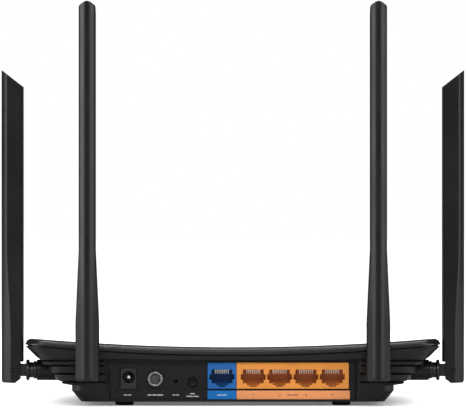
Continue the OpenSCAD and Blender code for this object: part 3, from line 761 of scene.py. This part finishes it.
# Numerals from bars on a small grid: (x0, z0, x1, z1) in widths and heights of the numeral.
NUMERALS = {
    "1": [(0.4, 0.0, 0.65, 1.0), (0.15, 0.72, 0.45, 0.88)],
    "2": [(0, 0.86, 1, 1), (0.76, 0.5, 1, 0.9), (0, 0.43, 1, 0.57), (0, 0.1, 0.24, 0.5), (0, 0, 1, 0.14)],
    "3": [(0, 0.86, 1, 1), (0.76, 0, 1, 1), (0.15, 0.43, 0.8, 0.57), (0, 0, 1, 0.14)],
    "4": [(0, 0.43, 0.24, 1), (0, 0.36, 1, 0.5), (0.66, 0, 0.9, 1)],
}


def print_bars(name, bars, y, colour_name, colour, slot, node):
    """Print that stands a hair proud of its surface."""
    bm = bmesh.new()
    for x0, z0, x1, z1 in bars:
        add_box(bm, (x0, y - 0.03, z0), (x1, y + 0.05, z1))
    obj = link_mesh(name, bm)
    soften(obj, 0.02, 40, 1)
    dress(obj, "case", slot, [node], mat=ink(colour_name, colour))


def prints():
    strip_front = box_mm("lan_label")[0].y
    white, dark = (0.5, 0.5, 0.51, 1), (0.16, 0.05, 0.02, 1)
    line_z, tall, gap = 5.9, 0.55, 0.45

    def word(middle, widths, z=line_z):
        total = sum(widths) + gap * (len(widths) - 1)
        x = middle - total / 2
        bars = []
        for w in widths:
            bars.append((x, z - tall / 2, x + w, z + tall / 2))
            x += w + gap
        return bars

    panel_words = word(DC_X - 0.6, [2.1, 1.7])
    panel_words += word(POWER_X, [2.2, 2.0, 3.4])
    panel_words += word(RESET_X, [1.6, 1.4])
    panel_words += word(PAIR_X - 0.2, [2.6], line_z + 0.75)
    panel_words += word(PAIR_X - 0.2, [3.4, 3.0], line_z - 0.75)
    print_bars("panel_marks", panel_words, STRIP_Y, "ink_white", white, "case_base", "bottom_shell")
    wan_words = word(WAN_CENTRE, [2.4, 2.2])
    print_bars("wan_mark", wan_words, strip_front, "ink_white", white, "strip_blue", "wan_label")
    bars = word(LAN_MIDDLE, [2.6, 3.2])
    size = (0.95, 1.55)
    for label, x in zip("1234", LAN_CENTRES):
        for x0, z0, x1, z1 in NUMERALS[label]:
            corner = (x - size[0] / 2, line_z - size[1] / 2)
            bars.append((corner[0] + x0 * size[0], corner[1] + z0 * size[1],
                         corner[0] + x1 * size[0], corner[1] + z1 * size[1]))
    print_bars("lan_marks", bars, strip_front, "ink_dark", dark, "strip_orange", "lan_label")


def dc_inlet():
    frame_box = box_piece("dc_frame", (DC_LO, DC_HI))
    hole = bmesh.new()
    bore = [(0, 0), (0, 3.5), (0.7, 3.15), (11, 3.15), (11, 0)]
    add_lathe(hole, bore, (DC_X, DC_LO.y - 0.01, DC_Z), INWARD, 64)
    carve(frame_box, link_mesh("dc_hole", hole))
    soften(frame_box, 0.25, 40, 2)
    dress(frame_box, "case", "black_gloss", ["dc_jack"])
    length = PIN_HI.y - PIN_LO.y
    tip = [(0, 0), (0.08, 0.45), (0.3, 0.8), (0.7, 1.0), (1.1, 1.05), (length, 1.05), (length, 0)]
    pin = lathe_piece("dc_post", tip, [(DC_X, PIN_LO.y, DC_Z)], INWARD, 32)
    dress(pin, "case", "nickel", ["dc_pin"])


def power_button():
    front = POWER_LO.y
    back = POWER_HI.y
    dish = [(0.7, 0), (0.68, 1.0), (0.6, 1.7), (0.5, 2.2), (0.75, 2.32), (1.0, 2.5), (1.0, 2.75)]
    side = [(1.2, 2.8), (6.0, 4.1), (6.0, 0)]
    cap = lathe_piece("power_cap", dish + side, [(POWER_X, front, POWER_Z)], INWARD, 64)
    dress(cap, "power_button", "button_grey", ["power_button"])
    rim = [(1.0, 2.75), (0.55, 2.86), (0.2, 3.05), (0.02, 3.35), (0.02, 3.7), (0.2, 4.0), (0.55, 4.25),
           (1.1, 4.4), (1.8, 4.45), (6.4, 4.45), (6.6, 4.4), (6.6, 3.0), (1.6, 2.8)]
    ring_obj = lathe_piece("power_rim", rim, [(POWER_X, front, POWER_Z)], INWARD, 64)
    satin = plated("rim_satin", *RIM_SATIN)
    dress(ring_obj, "power_button", "button_grey", ["power_button"], mat=satin)
    stem = box_piece("power_stem",
                     ((POWER_X - 1.5, front + 6.4, POWER_Z - 1.5), (POWER_X + 1.5, back, POWER_Z + 1.5)))
    soften(stem, 0.2, 40, 2)
    dress(stem, "power_button", "button_grey", ["power_button"])
    flange = [(0, 3.2), (0, 5.0), (0.15, POWER_R + 0.7), (0.85, POWER_R + 0.7), (1.0, 5.0), (1.0, 3.2)]
    keeper = lathe_piece("power_flange", flange, [(POWER_X, PANEL_Y + PANEL_T + 0.2, POWER_Z)], INWARD, 64)
    dress(keeper, "power_button", "button_grey", ["power_button"])


def small_buttons():
    front = PAIR_LO.y
    face = [(0.35, 0), (0.3, 0.9), (0.12, 1.6), (0.0, 1.9), (0.02, 2.2), (0.25, PAIR_R),
            (4.9, PAIR_R), (4.9, 0)]
    cap = lathe_piece("pairing_cap", face, [(PAIR_X, front, PAIR_Z)], INWARD)
    dress(cap, "pairing_button", "button_black", ["pairing_button"])
    reach = PAIR_HI.y - PANEL_Y - PANEL_T
    flange = [(0, 0), (0, PAIR_R + 0.5), (0.1, PAIR_R + 0.6), (0.7, PAIR_R + 0.6),
              (0.8, PAIR_R + 0.5), (0.8, 1.5), (reach - 0.4, 1.5), (reach - 0.2, 1.3), (reach - 0.2, 0)]
    stem = lathe_piece("pairing_stem", flange, [(PAIR_X, PANEL_Y + PANEL_T + 0.2, PAIR_Z)], INWARD)
    dress(stem, "pairing_button", "button_black", ["pairing_button"])
    length = RESET_HI.y - RESET_LO.y
    dome = [(0, 0), (0.1, 0.7), (0.35, 1.2), (0.7, 1.45), (1.1, 1.5), (length - 0.15, 1.5),
            (length, 1.35), (length, 0)]
    plunger = lathe_piece("reset_post", dome, [(RESET_X, RESET_LO.y, RESET_Z)], INWARD, 32)
    dress(plunger, "reset_plunger", "plunger_ivory", ["reset_plunger"])


# ---- Underside --------------------------------------------------------------------------
def feet():
    profile = [(0, 0), (0, 3.6), (0.25, 3.6), (0.25, 4.0), (0, 4.0), (0, 4.5), (0.25, 4.85), (0.8, 5.15),
               (1.2, 5.2), (2.7, 5.2), (2.7, 0)]
    obj = lathe_piece("feet", profile, at_height(FOOT_PLACES, 0), UP)
    dress(obj, "case", "foot_rubber", ["rubber_feet"])


def under_screws():
    low, high = [corner.z for corner in box_mm("case_screws")]
    head = [(0, 0), (0.0, 2.0), (0.25, 2.4), (0.6, 2.5), (2.0, 2.5), (2.0, 1.2)]
    shank = []
    turns = 14
    for i in range(turns):
        start = 2.3 + (high - low - 3.2) * i / turns
        shank += [(start, 1.0), (start + 0.35, 1.2)]
    end = [(high - low, 0.6), (high - low, 0)]
    obj = lathe_piece("screws", head + shank + end, at_height(SCREW_PLACES, low), UP, 32)
    for half_x, half_y in ((1.5, 0.3), (0.3, 1.5)):
        cross = bmesh.new()
        for x, y in SCREW_PLACES:
            add_box(cross, (x - half_x, y - half_y, low - 1), (x + half_x, y + half_y, low + 0.9))
        carve(obj, link_mesh("cross", cross))
    dress(obj, "case", "black_screw", ["case_screws"])


def base_label():
    lo, hi = box_mm("base_label")
    r = 1.5
    plan = []
    for cx, cy, start in ((hi.x - r, hi.y - r, 0), (lo.x + r, hi.y - r, 90), (lo.x + r, lo.y + r, 180),
                          (hi.x - r, lo.y + r, 270)):
        for k in range(7):
            a = math.radians(start + 15 * k)
            plan.append((cx + r * math.cos(a), cy + r * math.sin(a)))
    bm = bmesh.new()
    add_prism(bm, at_height(plan, lo.z), at_height(plan, hi.z))
    dress(link_mesh("label_plate", bm), "case", "label_film", ["base_label"])


# ---- Antennas ---------------------------------------------------------------------------
BLADE_D = 12.34
FOOT_W = 13.2
TOP_W = 9.4
FOOT_DROP = 7.2
TAPER_LOW = 23.6
TAPER_HIGH = 64.8
TIP_SLANT = math.tan(math.radians(38))
SLANT_TOP = 2.4
SLANT_FOOT = 4.3
BLADE_SMOOTHING = 2
TONGUE_T = 5.6
PIVOT_OUT = 13.5
BOSS_LEN = 15.6
BOSS_R = 5.8
SHAFT_R = 3.35
TURNS = {"rear_left": -90, "rear_right": -90, "side_left": 180, "side_right": 0}


def placed(name):
    """The antenna's own frame: +X away from the case, with the folding pivot at the origin."""
    pivot = [j["pos_m"] for j in frame["joints"] if j["name"] == name + "_fold"][0]
    return Matrix.Translation(Vector(pivot)) @ Matrix.Rotation(math.radians(TURNS[name]), 4, "Z")


def settle(obj, name):
    obj.data.transform(placed(name))
    return obj


def section(width, cut=0.0):
    """Outline across a blade. Its slanted faces are deeper where the blade is wider."""
    h, out, back = width / 2 - cut, BLADE_D / 2 - cut, -BLADE_D / 2 + cut
    slant = SLANT_TOP + (SLANT_FOOT - SLANT_TOP) * (width - TOP_W) / (FOOT_W - TOP_W)
    right = [(out, 0.23 * h), (out - slant, 0.83 * h), (out - slant - 0.8, 0.95 * h),
             (out - slant - 1.8, h), (back + 1, h), (back, h - 1)]
    return rounded([(u, -v) for u, v in reversed(right)] + right, BLADE_SMOOTHING)


def rounded(points, passes):
    """Cuts every corner of a closed outline back, several times over."""
    for _ in range(passes):
        after = points[1:] + points[:1]
        points = [(a[0] + (b[0] - a[0]) * t, a[1] + (b[1] - a[1]) * t)
                  for a, b in zip(points, after) for t in (0.25, 0.75)]
    return points


def blade_width(w):
    t = min(1.0, max(0.0, (w - TAPER_LOW) / (TAPER_HIGH - TAPER_LOW)))
    return FOOT_W + (TOP_W - FOOT_W) * t


def pin_cutter(radius):
    """Cuts the folding pin's hole, across an antenna in its own frame."""
    bm = bmesh.new()
    add_lathe(bm, [(0, 0), (0, radius), (20, radius), (20, 0)], (0, -10, 0), (0, 1, 0), 32)
    return link_mesh("pin_hole", bm)


def antenna_shell(name):
    lo, hi = box_mm(name + "_shell")
    tip = hi.z - lo.z - FOOT_DROP
    heights = [-FOOT_DROP + 1.1, 5, TAPER_LOW]
    heights += [TAPER_LOW + (TAPER_HIGH - TAPER_LOW) * k / 8 for k in range(1, 9)]
    heights += [TAPER_HIGH + (tip - 12 - TAPER_HIGH) * k / 6 for k in range(1, 7)]
    rings = [[(u, v, -FOOT_DROP) for u, v in section(FOOT_W, 0.7)]]
    rings += [[(u, v, w) for u, v in section(blade_width(w))] for w in heights]
    rings.append([(u, v, tip - (BLADE_D / 2 - u) * TIP_SLANT) for u, v in section(TOP_W)])
    bm = bmesh.new()
    made = [[bm.verts.new(p) for p in points] for points in rings]
    count = len(rings[0])
    for a, b in zip(made, made[1:]):
        for k in range(count):
            m = (k + 1) % count
            bm.faces.new((a[k], a[m], b[m], b[k]))
    bm.faces.new(list(reversed(made[0])))
    bm.faces.new(made[-1])
    shell = link_mesh(name + "_blade", bm)
    soften(shell, 0.3, 9, 2)
    slot = TONGUE_T / 2 + 0.15
    carve(shell, box_piece("slot", ((-10, -slot, -20), (3.8, slot, 3.8))))
    carve(shell, box_piece("relief", ((-14.3, -10, -20), (-4.3, 10, 4.7))))
    bm = bmesh.new()
    add_prism(bm, [(-4.4, -10, -5.07), (-1.4, -10, -7.42), (-4.4, -10, -9)],
              [(-4.4, 10, -5.07), (-1.4, 10, -7.42), (-4.4, 10, -9)])
    carve(shell, link_mesh("clearance", bm))
    carve(shell, pin_cutter(1.28))
    soften(shell, 0.18, 60, 2)
    settle(shell, name)
    dress(shell, name + "_blade", "antenna_black", [name + "_shell"], smooth=24)


def hinge_pin(name):
    lo, hi = box_mm(name + "_hinge_pin")
    length = max(hi.x - lo.x, hi.y - lo.y)
    profile = [(0, 0), (0.0, 0.9), (0.25, 1.2), (0.5, 1.25), (length - 0.5, 1.25), (length - 0.25, 1.2),
               (length, 0.9), (length, 0)]
    pin = lathe_piece(name + "_pin", profile, [(0, -length / 2, 0)], (0, 1, 0), 32)
    settle(pin, name)
    dress(pin, name + "_blade", "pin_steel", [name + "_hinge_pin"])


def swivel(name):
    inner = PIVOT_OUT + BOSS_LEN + 2
    bore = 1.4
    tongue_profile = [(3.5 * math.cos(a), 3.5 * math.sin(a))
                      for a in [math.radians(-90 + 180 * k / 20) for k in range(21)]]
    plan = [(-7.8, -3.5)] + tongue_profile + [(-7.8, 3.5)]
    bm = bmesh.new()
    half = TONGUE_T / 2
    add_prism(bm, [(u, -half, w) for u, w in plan], [(u, half, w) for u, w in plan])
    tongue = link_mesh(name + "_tongue", bm)
    carve(tongue, pin_cutter(1.3))
    soften(tongue, 0.25, 40, 2)
    settle(tongue, name)
    dress(tongue, name + "_arm", "swivel_black", [name + "_swivel"])
    profile = [
        (7.6, 0), (7.6, 5.3), (7.75, 5.65), (8.0, 5.85), (9.1, 5.85), (9.35, 5.7), (9.5, 5.3),
        (9.6, 4.6), (9.8, 4.4), (11.6, 4.4), (11.8, 4.55), (11.9, 4.8), (12.1, 5.0), (13.1, 5.0),
        (13.3, 4.8), (13.3, SHAFT_R), (inner - 2.2, SHAFT_R), (inner - 2.2, 2.7), (inner - 1.2, 2.7),
        (inner - 1.2, SHAFT_R), (inner - 0.3, SHAFT_R), (inner, SHAFT_R - 0.3), (inner, bore),
        (9.0, bore), (9.0, 0)]
    arm = lathe_piece(name + "_collar", profile, [(0, 0, 0)], (-1, 0, 0), 64)
    settle(arm, name)
    dress(arm, name + "_arm", "swivel_black", [name + "_swivel"])


def boss(name):
    profile = [(PIVOT_OUT + 0.3, SHAFT_R + 0.05), (PIVOT_OUT, SHAFT_R + 0.3), (PIVOT_OUT, BOSS_R - 0.45),
               (PIVOT_OUT + 0.15, BOSS_R - 0.12), (PIVOT_OUT + 0.5, BOSS_R),
               (PIVOT_OUT + BOSS_LEN, BOSS_R), (PIVOT_OUT + BOSS_LEN, SHAFT_R + 0.05)]
    obj = lathe_piece(name + "_boss", profile, [(0, 0, 0)], (-1, 0, 0), 64)
    settle(obj, name)
    dress(obj, "case", "case_base", ["bottom_shell"])


# ---- CAD nodes that are shown as they are -------------------------------------------------
def keep(node, slot, bevel=0.12):
    obj = NODES[node]
    obj.data.materials.clear()
    obj.data.materials.append(material(slot))
    weld = obj.modifiers.new("weld", "WELD")
    weld.merge_threshold = 0.01 * MM
    if bevel:
        edge = obj.modifiers.new("soften", "BEVEL")
        edge.width = bevel * MM
        edge.segments = 2
        edge.limit_method = "ANGLE"
        edge.angle_limit = math.radians(40)


def build():
    camera()
    studio()
    top_cover()
    bottom_shell()
    screw_posts()
    port_panel()
    jack("wan_housing", WAN_LO, WAN_HI, [WAN_CENTRE], "jack_blue")
    jack("lan_housing", LAN_LO, LAN_HI, LAN_CENTRES, "jack_orange")
    contact_wires("wan_contacts", [WAN_CENTRE], WAN_LO.y)
    contact_wires("lan_contacts", LAN_CENTRES, LAN_LO.y)
    strip("wan_label", "strip_blue")
    strip("lan_label", "strip_orange")
    prints()
    dc_inlet()
    power_button()
    small_buttons()
    feet()
    under_screws()
    base_label()
    for name in ANTENNAS:
        antenna_shell(name)
        hinge_pin(name)
        swivel(name)
        boss(name)
    slots = {s["node"]: s["material_slot"] for s in RECORD["subparts"]}
    for node, obj in NODES.items():
        if not obj.hide_render:
            keep(node, slots[node], 0.0 if node.endswith("_coax") else 0.1)


build()
